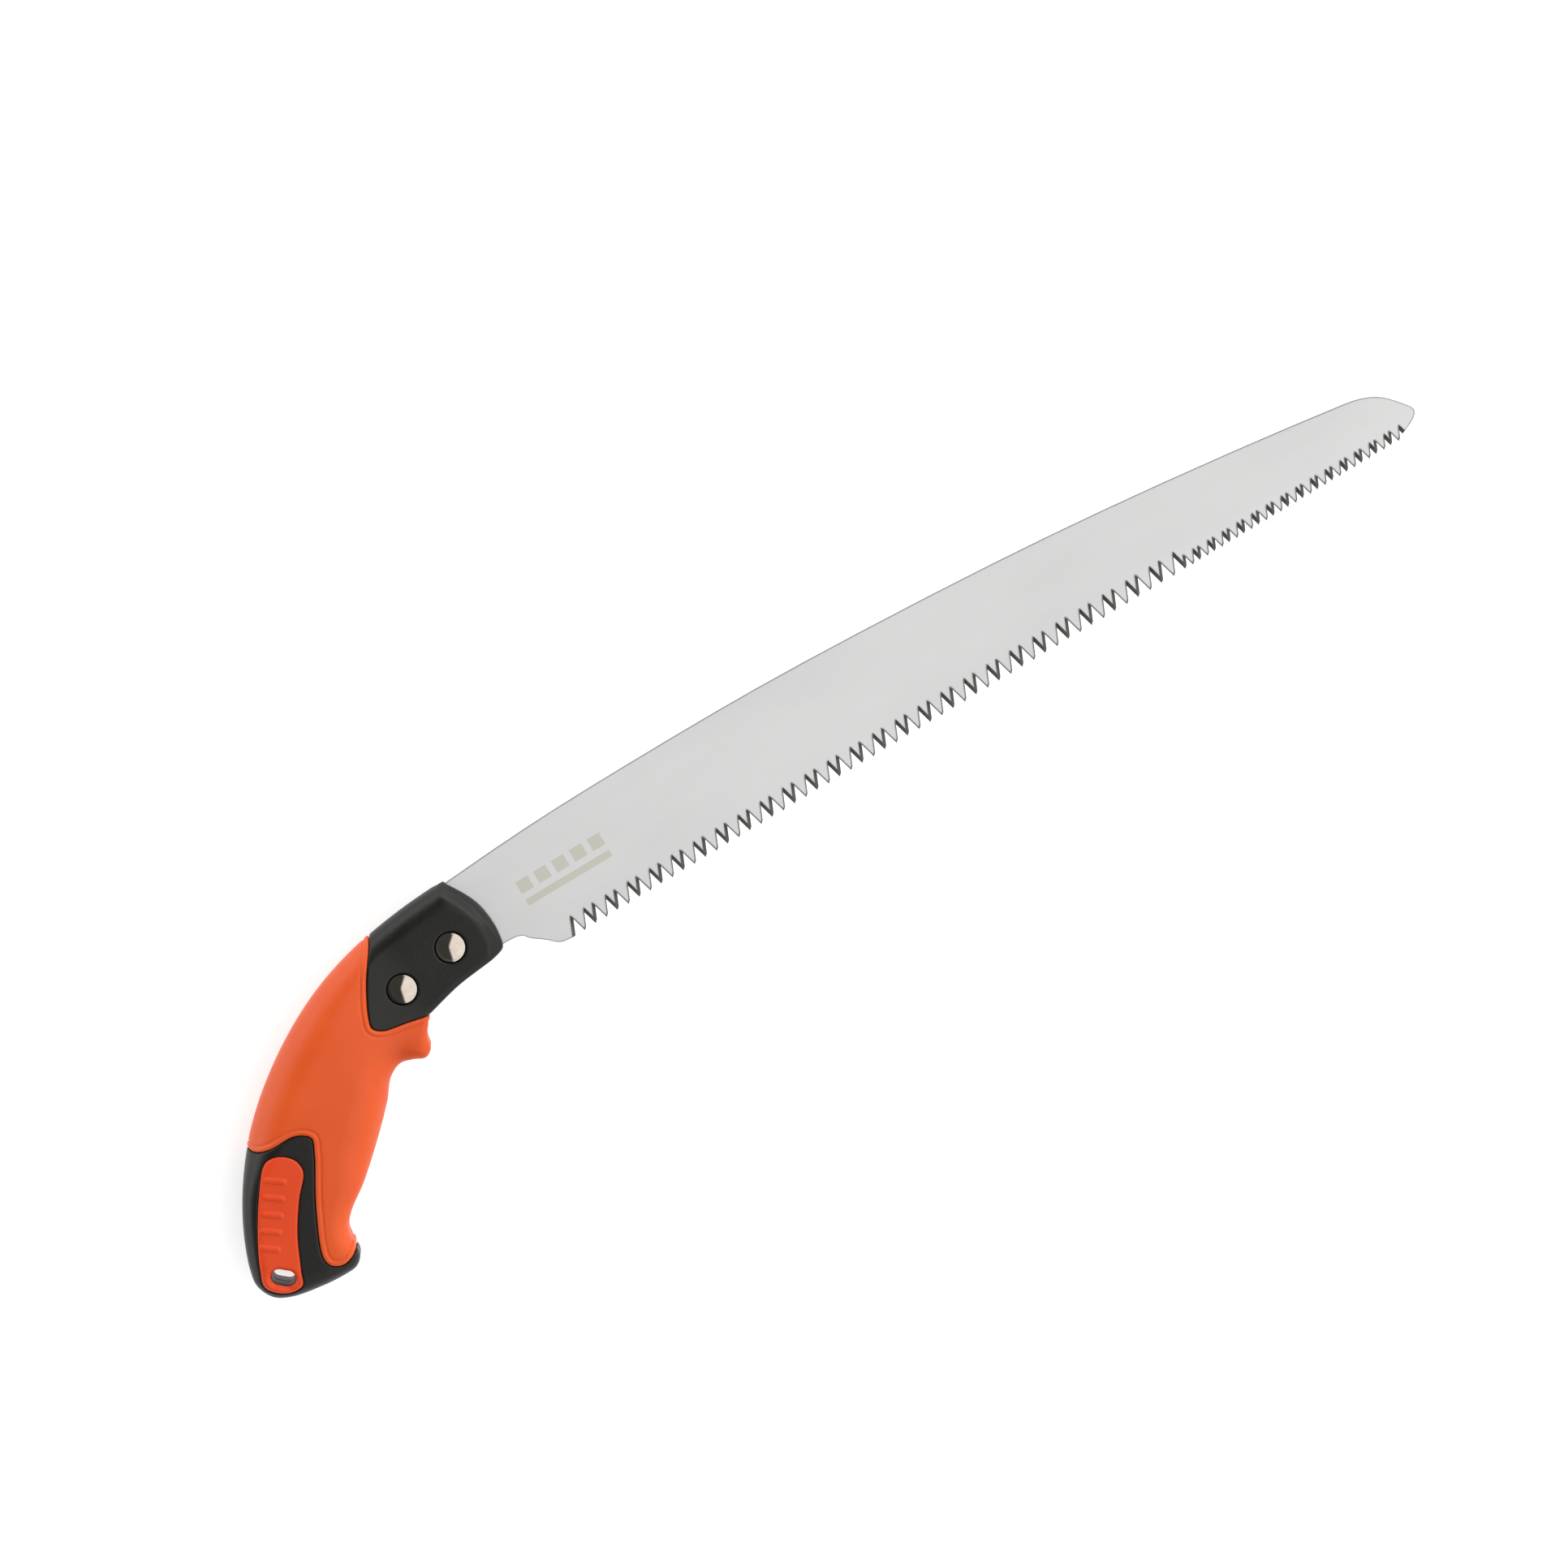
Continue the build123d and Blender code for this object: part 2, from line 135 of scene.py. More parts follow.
def ramp(value: np.ndarray, start: float, stop: float) -> np.ndarray:
    """Rises smoothly from 0 at start to 1 at stop.

    Args:
        value: Where the ramp is read.
        start: The value at which it leaves 0.
        stop: The value at which it reaches 1.

    Returns:
        The ramp's height, the same shape as value.
    """
    share = np.clip((value - start) / (stop - start), 0.0, 1.0)
    return share * share * (3.0 - 2.0 * share)


def both(first: np.ndarray, second: np.ndarray, radius: float) -> np.ndarray:
    """Intersects two fields and rounds the edge between them.

    Args:
        first: A field in millimetres, negative inside.
        second: The other field.
        radius: How wide the rounded edge is.

    Returns:
        The field of what is inside both.
    """
    blend = np.maximum(radius - np.abs(first - second), 0.0) / radius
    return np.maximum(first, second) + blend * blend * radius / 4.0


def curve_through(points: list[Point], closed: bool = False, steps: int = 10) -> np.ndarray:
    """Draws a smooth curve through a few points.

    Args:
        points: The points, in order.
        closed: Whether the curve returns to its first point.
        steps: How many short chords stand for each span.

    Returns:
        The curve's points, one row each.
    """
    given = np.array(points, dtype=float)
    if closed:
        padded = np.vstack([given[-1:], given, given[:2]])
    else:
        before = 2.0 * given[0] - given[1]
        after = 2.0 * given[-1] - given[-2]
        padded = np.vstack([before, given, after])
    rows = []
    for index in range(len(padded) - 3):
        a, b, c, d = padded[index:index + 4]
        knots = np.cumsum([0.0] + [math.sqrt(np.linalg.norm(q - p)) for p, q in ((a, b), (b, c), (c, d))])
        for step in range(steps):
            t = knots[1] + (knots[2] - knots[1]) * step / steps
            ab = (a * (knots[1] - t) + b * (t - knots[0])) / (knots[1] - knots[0])
            bc = (b * (knots[2] - t) + c * (t - knots[1])) / (knots[2] - knots[1])
            cd = (c * (knots[3] - t) + d * (t - knots[2])) / (knots[3] - knots[2])
            left = (ab * (knots[2] - t) + bc * (t - knots[0])) / (knots[2] - knots[0])
            right = (bc * (knots[3] - t) + cd * (t - knots[1])) / (knots[3] - knots[1])
            rows.append((left * (knots[2] - t) + right * (t - knots[1])) / (knots[2] - knots[1]))
    if not closed:
        rows.append(given[-1])
    return np.array(rows)


@dataclass(frozen=True)
class Outline:
    """A closed outline made of smooth runs that meet at corners."""

    runs: tuple[tuple[Point, ...], ...]

    def chords(self) -> np.ndarray:
        """Returns the whole outline as one closed loop of points."""
        parts = [curve_through(list(run))[:-1] for run in self.runs]
        return np.vstack(parts)


@dataclass
class Grid:
    """The grid of small cells that the handle's fields are worked out on."""

    low: tuple[float, float] = (-107.0, -72.0)
    high: tuple[float, float] = (17.6, 21.0)
    half_height: float = 12.6
    cell: float = 0.3

    def __post_init__(self) -> None:
        """Lays out the grid's lines."""
        self.x = np.arange(self.low[0], self.high[0], self.cell, dtype=np.float32)
        self.y = np.arange(self.low[1], self.high[1], self.cell, dtype=np.float32)
        rows = int(self.half_height / self.cell) + 1
        self.z = (np.arange(-rows, rows + 1, dtype=np.float32) + 0.5) * self.cell
        self.plane_x, self.plane_y = np.meshgrid(self.x, self.y, indexing="ij")

    @property
    def deep(self) -> np.ndarray:
        """The height of each layer, shaped to combine with a plane of values."""
        return self.z[None, None, :]

    def distance_to(self, loop: np.ndarray) -> np.ndarray:
        """Measures the signed distance from each cell to a closed loop.

        Args:
            loop: The loop's points, one row each.

        Returns:
            The distance in the drawing plane, negative inside the loop.
        """
        px, py = self.plane_x.ravel(), self.plane_y.ravel()
        nearest = np.full(px.shape, np.inf, dtype=np.float32)
        inside = np.zeros(px.shape, dtype=bool)
        following = np.roll(loop, -1, axis=0)
        for (ax, ay), (bx, by) in zip(loop.astype(np.float32), following.astype(np.float32)):
            dx, dy = bx - ax, by - ay
            length = max(dx * dx + dy * dy, 1e-9)
            share = np.clip(((px - ax) * dx + (py - ay) * dy) / length, 0.0, 1.0)
            gap = (px - ax - share * dx) ** 2 + (py - ay - share * dy) ** 2
            np.minimum(nearest, gap, out=nearest)
            if ay != by:
                crosses = (ay > py) != (by > py)
                inside ^= crosses & (px < (bx - ax) * (py - ay) / (by - ay) + ax)
        distance = np.sqrt(nearest)
        distance[inside] *= -1.0
        return distance.reshape(self.plane_x.shape)

    def soft_depth(self, loop: np.ndarray, exact: np.ndarray) -> np.ndarray:
        """Measures how deep each cell is inside a loop, with no crease along the middle.

        Args:
            loop: The loop's points, one row each.
            exact: The signed distance to the same loop, negative inside.

        Returns:
            The depth, which is the true one at the edge, and negative outside.
        """
        power = 6.0
        following = np.roll(loop, -1, axis=0)
        chords = np.linalg.norm(following - loop, axis=1)
        total = np.zeros(exact.size, dtype=np.float32)
        px, py = self.plane_x.ravel(), self.plane_y.ravel()
        for (ax, ay), (bx, by), chord in zip(loop, following, chords):
            pieces = max(1, int(math.ceil(chord / 0.6)))
            for piece in range(pieces):
                share = (piece + 0.5) / pieces
                mx, my = np.float32(ax + (bx - ax) * share), np.float32(ay + (by - ay) * share)
                square = (px - mx) ** 2 + (py - my) ** 2 + np.float32(0.02)
                total += np.float32(chord / pieces) / (square * square * square)
        # For a straight edge the sum is (pi * 3 / 8) / depth ** 5.
        depth = (math.pi * 3.0 / 8.0 / total) ** (1.0 / (power - 1.0))
        depth = depth.reshape(exact.shape)
        near = np.exp(-(np.maximum(-exact, 0.0) / 1.1) ** 2)
        return np.where(exact < 0.0, depth * (1.0 - near) - exact * near, -exact)


def surface_mesh(name: str, grid: Grid, values: np.ndarray, datum: Datum) -> bpy.types.Object:
    """Turns a field into a closed, smooth-shaded mesh.

    Args:
        name: The piece's name.
        grid: The grid that the field was worked out on.
        values: The field, negative inside the piece.
        datum: Where the drawing sits in the frame.

    Returns:
        The new object, already in the scene.
    """
    band = 4.0 * grid.cell
    clipped = np.clip(values, -band, band).astype(np.float32)
    layers = [clipped, *np.gradient(clipped)]
    volume = openvdb.FloatGrid(band)
    volume.copyFromArray(clipped)
    points, quads = volume.convertToQuads(0.0)
    settled, _ = settle(points.astype(np.float64), layers, 3)
    mesh = bpy.data.meshes.new(name)
    mesh.from_pydata(settled.tolist(), [], quads.tolist())
    mesh.validate()
    piece = bpy.data.objects.new(name, mesh)
    bpy.context.scene.collection.objects.link(piece)
    triangles = 2 * len(quads)
    if triangles > MOST_TRIANGLES:
        thin = piece.modifiers.new("thin", "DECIMATE")
        thin.ratio = MOST_TRIANGLES / triangles
        seen = piece.evaluated_get(bpy.context.evaluated_depsgraph_get())
        mesh = bpy.data.meshes.new_from_object(seen)
        piece.modifiers.clear()
        piece.data = mesh
    places = np.zeros(3 * len(mesh.vertices))
    mesh.vertices.foreach_get("co", places)
    places, normals = settle(places.reshape(-1, 3), layers, 1)
    start = np.array([grid.x[0], grid.y[0], grid.z[0]], dtype=np.float64)
    places = (places * grid.cell + start) * MILLIMETRE + np.array(datum.origin)
    mesh.vertices.foreach_set("co", places.ravel())
    mesh.polygons.foreach_set("use_smooth", [True] * len(mesh.polygons))
    mesh.update()
    mesh.normals_split_custom_set_from_vertices(normals.tolist())
    log.info("%s: %d faces from %d", name, len(mesh.polygons), len(quads))
    return piece


def settle(points: np.ndarray, layers: list[np.ndarray], rounds: int) -> tuple[np.ndarray, np.ndarray]:
    """Moves mesh points onto the surface where a field is zero.

    Args:
        points: The points in cells of the grid, one row each.
        layers: The field on the grid, and its slope along each axis.
        rounds: How many times each point is moved.

    Returns:
        The moved points, and the surface's outward normal at each.
    """
    limits = np.array(layers[0].shape) - 2
    slope = np.zeros_like(points)
    for _ in range(rounds):
        base = np.clip(np.floor(points).astype(int), 0, limits)
        share = points - base
        read = np.zeros((len(layers), len(points)))
        for corner in range(8):
            offset = np.array([(corner >> 2) & 1, (corner >> 1) & 1, corner & 1])
            weight = np.prod(np.where(offset == 1, share, 1.0 - share), axis=1)
            at = base + offset
            for row, layer in enumerate(layers):
                read[row] += weight * layer[at[:, 0], at[:, 1], at[:, 2]]
        slope = read[1:].T
        steep = np.maximum(np.sum(slope * slope, axis=1), 1e-3)
        move = -(read[0] / steep)[:, None] * slope
        points = points + np.clip(move, -0.4, 0.4)
    length = np.maximum(np.linalg.norm(slope, axis=1), 1e-6)
    return points, slope / length[:, None]


# ------------------------------------------------------------------ finishes
@dataclass
class NodeKit:
    """A short way to write a material's node tree."""

    material: bpy.types.Material

    @classmethod
    def named(cls, name: str) -> "NodeKit":
        """Starts an empty node material.

        Args:
            name: The material's name.
        """
        material = bpy.data.materials.new(name)
        material.use_nodes = True
        material.node_tree.nodes.clear()
        kit = cls(material)
        shader = kit.add("ShaderNodeBsdfPrincipled")
        output = kit.add("ShaderNodeOutputMaterial")
        kit.join(shader, "BSDF", output, "Surface")
        return kit

    @property
    def shader(self) -> bpy.types.Node:
        """The material's main shader."""
        return next(n for n in self.material.node_tree.nodes if n.type == "BSDF_PRINCIPLED")

    def add(self, kind: str, **settings: object) -> bpy.types.Node:
        """Adds a node.

        Args:
            kind: The node's type name.
            settings: Attributes to set on it.

        Returns:
            The new node.
        """
        node = self.material.node_tree.nodes.new(kind)
        for key, value in settings.items():
            setattr(node, key, value)
        return node

    def join(self, source: bpy.types.Node, out: str | int, target: bpy.types.Node,
             into: str | int) -> None:
        """Joins one node's output to another's input."""
        self.material.node_tree.links.new(source.outputs[out], target.inputs[into])

    def place(self, stretch: tuple[float, float, float] = (1.0, 1.0, 1.0)) -> bpy.types.Node:
        """Gives the place on the object in millimetres, stretched along each axis.

        Args:
            stretch: How many times finer than a millimetre each axis is read.

        Returns:
            The mapping node, whose Vector output is the place.
        """
        source = self.add("ShaderNodeTexCoord")
        mapping = self.add("ShaderNodeMapping")
        mapping.inputs["Scale"].default_value = [value / MILLIMETRE for value in stretch]
        self.join(source, "Object", mapping, "Vector")
        return mapping

    def noise(self, place: bpy.types.Node, scale: float, detail: float = 2.0,
              rough: float = 0.5) -> bpy.types.Node:
        """Adds a noise texture.

        Args:
            place: The node that gives the place.
            scale: Waves in each millimetre.
            detail: How many finer layers are added.
            rough: How strong the finer layers are.

        Returns:
            The noise node, whose Fac output is between 0 and 1.
        """
        node = self.add("ShaderNodeTexNoise")
        node.inputs["Scale"].default_value = scale
        node.inputs["Detail"].default_value = detail
        node.inputs["Roughness"].default_value = rough
        self.join(place, "Vector", node, "Vector")
        return node

    def span(self, source: bpy.types.Node, out: str | int, low: float, high: float,
             start: float, stop: float) -> bpy.types.Node:
        """Maps a value from one span to another.

        Args:
            source: The node that gives the value.
            out: Its output.
            low: What start becomes.
            high: What stop becomes.
            start: Where the span begins.
            stop: Where it ends.

        Returns:
            The mapping node.
        """
        node = self.add("ShaderNodeMapRange")
        for key, value in (("From Min", start), ("From Max", stop), ("To Min", low), ("To Max", high)):
            node.inputs[key].default_value = value
        self.join(source, out, node, "Value")
        return node

    def maths(self, kind: str, first: bpy.types.Node | float,
              second: bpy.types.Node | float) -> bpy.types.Node:
        """Adds a sum, product or other maths node.

        Args:
            kind: The operation's name.
            first: The first value, or the node that gives it.
            second: The second value, or the node that gives it.

        Returns:
            The maths node.
        """
        node = self.add("ShaderNodeMath", operation=kind)
        for index, value in enumerate((first, second)):
            if isinstance(value, bpy.types.Node):
                self.join(value, 0, node, index)
            else:
                node.inputs[index].default_value = value
        return node

    def carry(self, node: bpy.types.Node, name: str) -> bpy.types.Node:
        """Carries one named output of a node on as a node of its own."""
        carried = self.add("ShaderNodeMath", operation="ADD")
        carried.inputs[1].default_value = 0.0
        self.join(node, name, carried, 0)
        return carried

    def between(self, value: bpy.types.Node, low: float, high: float) -> bpy.types.Node:
        """Returns a node that is 1 where a value is between two limits, and 0 elsewhere."""
        above = self.maths("GREATER_THAN", value, low)
        return self.maths("MULTIPLY", above, self.maths("LESS_THAN", value, high))

    def tint(self, factor: bpy.types.Node, low: Colour, high: Colour) -> bpy.types.Node:
        """Mixes two colours.

        Args:
            factor: The node that gives the share of the second colour.
            low: The colour where the factor is 0.
            high: The colour where it is 1.

        Returns:
            The mixing node, whose Result output is the colour.
        """
        node = self.add("ShaderNodeMix", data_type="RGBA")
        node.inputs[MIX_BELOW].default_value = (*low, 1.0)
        node.inputs[MIX_ABOVE].default_value = (*high, 1.0)
        self.join(factor, 0, node, MIX_FACTOR)
        return node

    def lay(self, below: bpy.types.Node, share: bpy.types.Node, colour: Colour) -> bpy.types.Node:
        """Lays a colour over what another mixing node gives.

        Args:
            below: The mixing node whose colour is underneath.
            share: The node that gives how much of the new colour shows.
            colour: The colour on top.

        Returns:
            The new mixing node.
        """
        node = self.tint(share, colour, colour)
        self.join(below, MIX_RESULT, node, MIX_BELOW)
        return node

    def bump(self, height: bpy.types.Node, depth: float) -> bpy.types.Node:
        """Adds a bump from a height between 0 and 1.

        Args:
            height: The node that gives the height.
            depth: The full height in millimetres.

        Returns:
            The bump node.
        """
        node = self.add("ShaderNodeBump")
        node.inputs["Distance"].default_value = depth * MILLIMETRE
        self.join(height, 0, node, "Height")
        return node


@dataclass(frozen=True)
class MouldedFinish:
    """Moulded plastic or elastomer with a fine spark-eroded texture."""

    name: str
    colour: Colour
    deep_colour: Colour
    roughness: float
    specular: float
    grain: float
    grain_depth: float
    sheen: float = 0.0
    cloud_scale: float = 0.045
    coarse_scale: float = 0.31
    fine_share: float = 0.6
    roughness_spread: float = 0.07

    def build(self) -> bpy.types.Material:
        """Returns the finish as a procedural material."""
        kit = NodeKit.named(self.name)
        shader = kit.shader
        place = kit.place()
        cloud = kit.noise(place, self.cloud_scale, 3.0, 0.55)
        shade = kit.span(cloud, 0, 0.0, 1.0, 0.35, 0.65)
        mix = kit.tint(shade, self.deep_colour, self.colour)
        kit.join(mix, MIX_RESULT, shader, "Base Color")
        fine = kit.maths("MULTIPLY", kit.noise(place, self.grain, 3.0, 0.6), self.fine_share)
        coarse = kit.noise(place, self.grain * self.coarse_scale)
        texture = kit.maths("ADD", fine, kit.maths("MULTIPLY", coarse, 1.0 - self.fine_share))
        low, high = self.roughness - self.roughness_spread, self.roughness + self.roughness_spread
        kit.join(kit.span(texture, 0, low, high, 0.3, 0.7), 0, shader, "Roughness")
        kit.join(kit.bump(texture, self.grain_depth), 0, shader, "Normal")
        shader.inputs["Specular IOR Level"].default_value = self.specular
        shader.inputs["Sheen Weight"].default_value = self.sheen
        return kit.material


@dataclass(frozen=True)
class PlatedFinish:
    """Polished plating or turned steel on a small fastener."""

    name: str
    colour: Colour
    roughness: float
    scratch: float
    cloud_scale: float = 0.5
    cloud_shade: float = 0.86
    marks_scale: float = 1.6
    marks_stretch: tuple[float, float, float] = (0.6, 5.0, 5.0)
    roughness_spread: float = 0.1

    def build(self) -> bpy.types.Material:
        """Returns the finish as a procedural material."""
        kit = NodeKit.named(self.name)
        shader = kit.shader
        cloud = kit.noise(kit.place(), self.cloud_scale, 3.0)
        darker: Colour = tuple(value * self.cloud_shade for value in self.colour)
        mix = kit.tint(kit.span(cloud, 0, 0.0, 1.0, 0.3, 0.7), darker, self.colour)
        kit.join(mix, MIX_RESULT, shader, "Base Color")
        marks = kit.noise(kit.place(self.marks_stretch), self.marks_scale, 3.0, 0.7)
        high = self.roughness + self.roughness_spread
        kit.join(kit.span(marks, 0, self.roughness, high, 0.3, 0.75), 0, shader, "Roughness")
        kit.join(kit.bump(marks, self.scratch), 0, shader, "Normal")
        shader.inputs["Metallic"].default_value = 1.0
        return kit.material


@dataclass(frozen=True)
class EtchedPanel:
    """A plain etched panel near the blade's heel: a row of squares over a long bar."""

    start: float = 27.0
    squares: int = 5
    pitch: float = 6.4
    share: float = 0.68
    squares_low: float = 2.2
    squares_high: float = 6.4
    bar_low: float = -2.0
    bar_high: float = 0.2

    def mask(self, kit: "NodeKit", datum: Datum) -> bpy.types.Node:
        """Marks where the blade is etched.

        Args:
            kit: The blade material's kit.
            datum: Where the drawing sits in the frame.

        Returns:
            A node that is 1 on the panel and 0 elsewhere.
        """
        place = kit.place()
        place.inputs["Location"].default_value = -datum.origin / MILLIMETRE
        split = kit.add("ShaderNodeSeparateXYZ")
        kit.join(place, "Vector", split, "Vector")
        along, across, up = (kit.carry(split, axis) for axis in "XYZ")
        length = self.pitch * (self.squares - 1 + self.share)
        inside = kit.between(along, self.start, self.start + length)
        steps = kit.maths("DIVIDE", kit.maths("SUBTRACT", along, self.start), self.pitch)
        turns = kit.maths("FRACT", steps, 0.0)
        squares = kit.maths("MULTIPLY", kit.between(turns, 0.0, self.share),
                            kit.between(across, self.squares_low, self.squares_high))
        panel = kit.maths("MAXIMUM", squares, kit.between(across, self.bar_low, self.bar_high))
        upper = kit.maths("GREATER_THAN", up, 0.0)
        return kit.maths("MULTIPLY", kit.maths("MULTIPLY", panel, inside), upper)


@dataclass(frozen=True)
class BladeFinish:
    """Satin plated blade steel, with painted shade on the ground tooth bevels, the edges and the side
    faces.
    """

    datum: Datum
    panel: EtchedPanel = EtchedPanel()
    name: str = "blade_steel"
    face: Colour = (0.6, 0.602, 0.605)
    face_cloud: Colour = (0.57, 0.572, 0.575)
    # The bevel colour is a painted dark reflection, laid on the steep ground bevels at the teeth.
    bevel_shade: Colour = (0.07, 0.068, 0.062)
    # The edge colour is painted shade, darkening the blade's upright side faces.
    edge: Colour = (0.27, 0.27, 0.265)
    etched: Colour = (0.5, 0.49, 0.43)
    # The rim colour is painted shade: a dark line along the edges that stands in for a rounded edge's
    # reflection.
    rim: Colour = (0.07, 0.07, 0.07)
    rim_width: float = 0.9
    rim_turn: Point = (0.86, 0.985)
    slant: Point = (0.93, 0.98)
    squareness: Point = (0.05, 0.15)
    cloud_scale: float = 0.05
    cloud_stretch: tuple[float, float, float] = (0.3, 1.0, 1.0)
    lines_scale: float = 1.3
    lines_stretch: tuple[float, float, float] = (0.05, 4.0, 4.0)
    lines_depth: float = 0.004
    roughness: Point = (0.44, 0.58)
    metallic: float = 0.45

    def painted_edge_shade(self, kit: NodeKit, geometry: bpy.types.Node) -> bpy.types.Node:
        """Marks the painted shade along the blade's edges, a dark line that stands in for a rounded edge's
        reflection.

        Args:
            kit: The blade material's kit.
            geometry: The node that gives the surface's own normal.

        Returns:
            A node that is 0 on the flat and rises towards 1 at an edge.
        """
        rounded = kit.add("ShaderNodeBevel", samples=6)
        rounded.inputs["Radius"].default_value = self.rim_width * MILLIMETRE
        dot = kit.add("ShaderNodeVectorMath", operation="DOT_PRODUCT")
        kit.join(rounded, "Normal", dot, 0)
        kit.join(geometry, "True Normal", dot, 1)
        return kit.span(kit.carry(dot, "Value"), 0, 1.0, 0.0, *self.rim_turn)

    def build(self) -> bpy.types.Material:
        """Returns the finish as a procedural material."""
        kit = NodeKit.named(self.name)
        shader = kit.shader
        cloud = kit.noise(kit.place(self.cloud_stretch), self.cloud_scale)
        face = kit.tint(kit.span(cloud, 0, 0.0, 1.0, 0.35, 0.65), self.face_cloud, self.face)
        geometry = kit.add("ShaderNodeNewGeometry")
        split = kit.add("ShaderNodeSeparateXYZ")
        kit.join(geometry, "True Normal", split, "Vector")
        upright = kit.maths("ABSOLUTE", kit.carry(split, "Z"), 0.0)
        colour = kit.lay(face, self.panel.mask(kit, self.datum), self.etched)
        # Painted shade: a dark line along every edge of the blade.
        colour = kit.lay(colour, self.painted_edge_shade(kit, geometry), self.rim)
        # Painted dark reflection on the ground bevels, picked out by how far the surface leans.
        colour = kit.lay(colour, kit.span(upright, 0, 1.0, 0.0, *self.slant), self.bevel_shade)
        # Painted shade on the upright side faces of the blade.
        colour = kit.lay(colour, kit.span(upright, 0, 1.0, 0.0, *self.squareness), self.edge)
        kit.join(colour, MIX_RESULT, shader, "Base Color")
        lines = kit.noise(kit.place(self.lines_stretch), self.lines_scale, 4.0, 0.65)
        kit.join(kit.span(lines, 0, *self.roughness, 0.3, 0.7), 0, shader, "Roughness")
        kit.join(kit.bump(lines, self.lines_depth), 0, shader, "Normal")
        shader.inputs["Metallic"].default_value = self.metallic
        return kit.material


@dataclass(frozen=True)
class FloorFinish:
    """Plain pale floor of a light table, which softens every shadow on it."""

    name: str = "studio_floor"
    colour: Colour = (0.5, 0.5, 0.5)
    glow: float = 0.68
    cloud_scale: float = 0.004
    cloud_shade: float = 1.02

    def build(self) -> bpy.types.Material:
        """Returns the finish as a procedural material."""
        kit = NodeKit.named(self.name)
        shader = kit.shader
        cloud = kit.noise(kit.place(), self.cloud_scale)
        paler: Colour = tuple(value * self.cloud_shade for value in self.colour)
        kit.join(kit.tint(cloud, self.colour, paler), MIX_RESULT, shader, "Base Color")
        shader.inputs["Roughness"].default_value = 0.9
        shader.inputs["Specular IOR Level"].default_value = 0.1
        shader.inputs["Emission Color"].default_value = (1.0, 1.0, 1.0, 1.0)
        shader.inputs["Emission Strength"].default_value = self.glow
        return kit.material


# ------------------------------------------------------------------ the handle
HANDLE = Outline((
    ((8.4, 18.6), (-8, 17.5), (-24, 15.0), (-40, 10.4), (-56, 2.8), (-72, -8.0), (-84, -19.0),
     (-93, -30.5), (-100.3, -43.2), (-104.6, -54.5), (-105.1, -59.3), (-102.6, -64.6),
     (-97.5, -67.5), (-88, -69.4), (-80, -70.0), (-75.6, -69.6), (-73.0, -67.3), (-72.3, -63.2),
     (-71.9, -58.6), (-68.4, -54.2), (-60, -48.1), (-50, -39.4), (-41.5, -31.0), (-36.8, -25.3),
     (-32.0, -23.0), (-27.6, -23.9), (-24.0, -25.2), (-21.4, -23.6), (-20.3, -19.8), (-16.3, -14.5)),
    ((-16.3, -14.5), (-4, -11.5), (11.6, -9.5), (13.8, -8.4), (14.6, -5.8), (15.0, 0),
     (13.4, 9.0), (8.4, 18.6)),
))

BOLSTER_FRONT = ((8.4, 18.6), (13.4, 9.0), (15.0, 0.0), (14.6, -5.8), (13.2, -9.4))

GRIP = Outline((
    ((-18.6, 19.0), (-20.5, 14.4), (-27.8, 3.8), (-32.6, -5.5), (-33.3, -8.7), (-31.0, -11.0),
     (-24.0, -12.7), (-16.3, -14.5)),
    ((-16.3, -14.5), (-8, -16.5)),
    ((-8, -16.5), (-8, -48)),
    ((-8, -48), (-60, -60)),
    ((-60, -60), (-70.0, -62.2)),
    ((-70.0, -62.2), (-74.8, -65.9), (-78.6, -66.7), (-82.0, -64.8), (-82.7, -61.4), (-76.6, -47.0),
     (-68.1, -32.0), (-66.7, -27.9), (-70.6, -24.9), (-80.0, -24.5), (-84.3, -22.9), (-87.4, -18.0)),
    ((-87.4, -18.0), (-87.4, 19.0)),
    ((-87.4, 19.0), (-18.6, 19.0)),
))

INLAY: tuple[Point, ...] = (
    (-84.0, -28.0), (-81.6, -27.0), (-77.8, -27.8), (-74.3, -31.4), (-74.1, -35.6), (-79.4, -42.0),
    (-85.6, -51.2), (-90.6, -61.6), (-92.6, -65.7), (-97.6, -65.6), (-102.9, -60.6), (-101.4, -55.0),
    (-96.2, -44.9), (-89.4, -34.5),
)

TANG: tuple[Point, ...] = (
    (30.0, 18.9), (6.0, 17.4), (-6.0, 10.9), (-27.0, 4.3), (-31.3, 0.5), (-31.3, -5.5), (-27.0, -9.3),
    (14.0, -8.3), (30.0, -8.3),
)


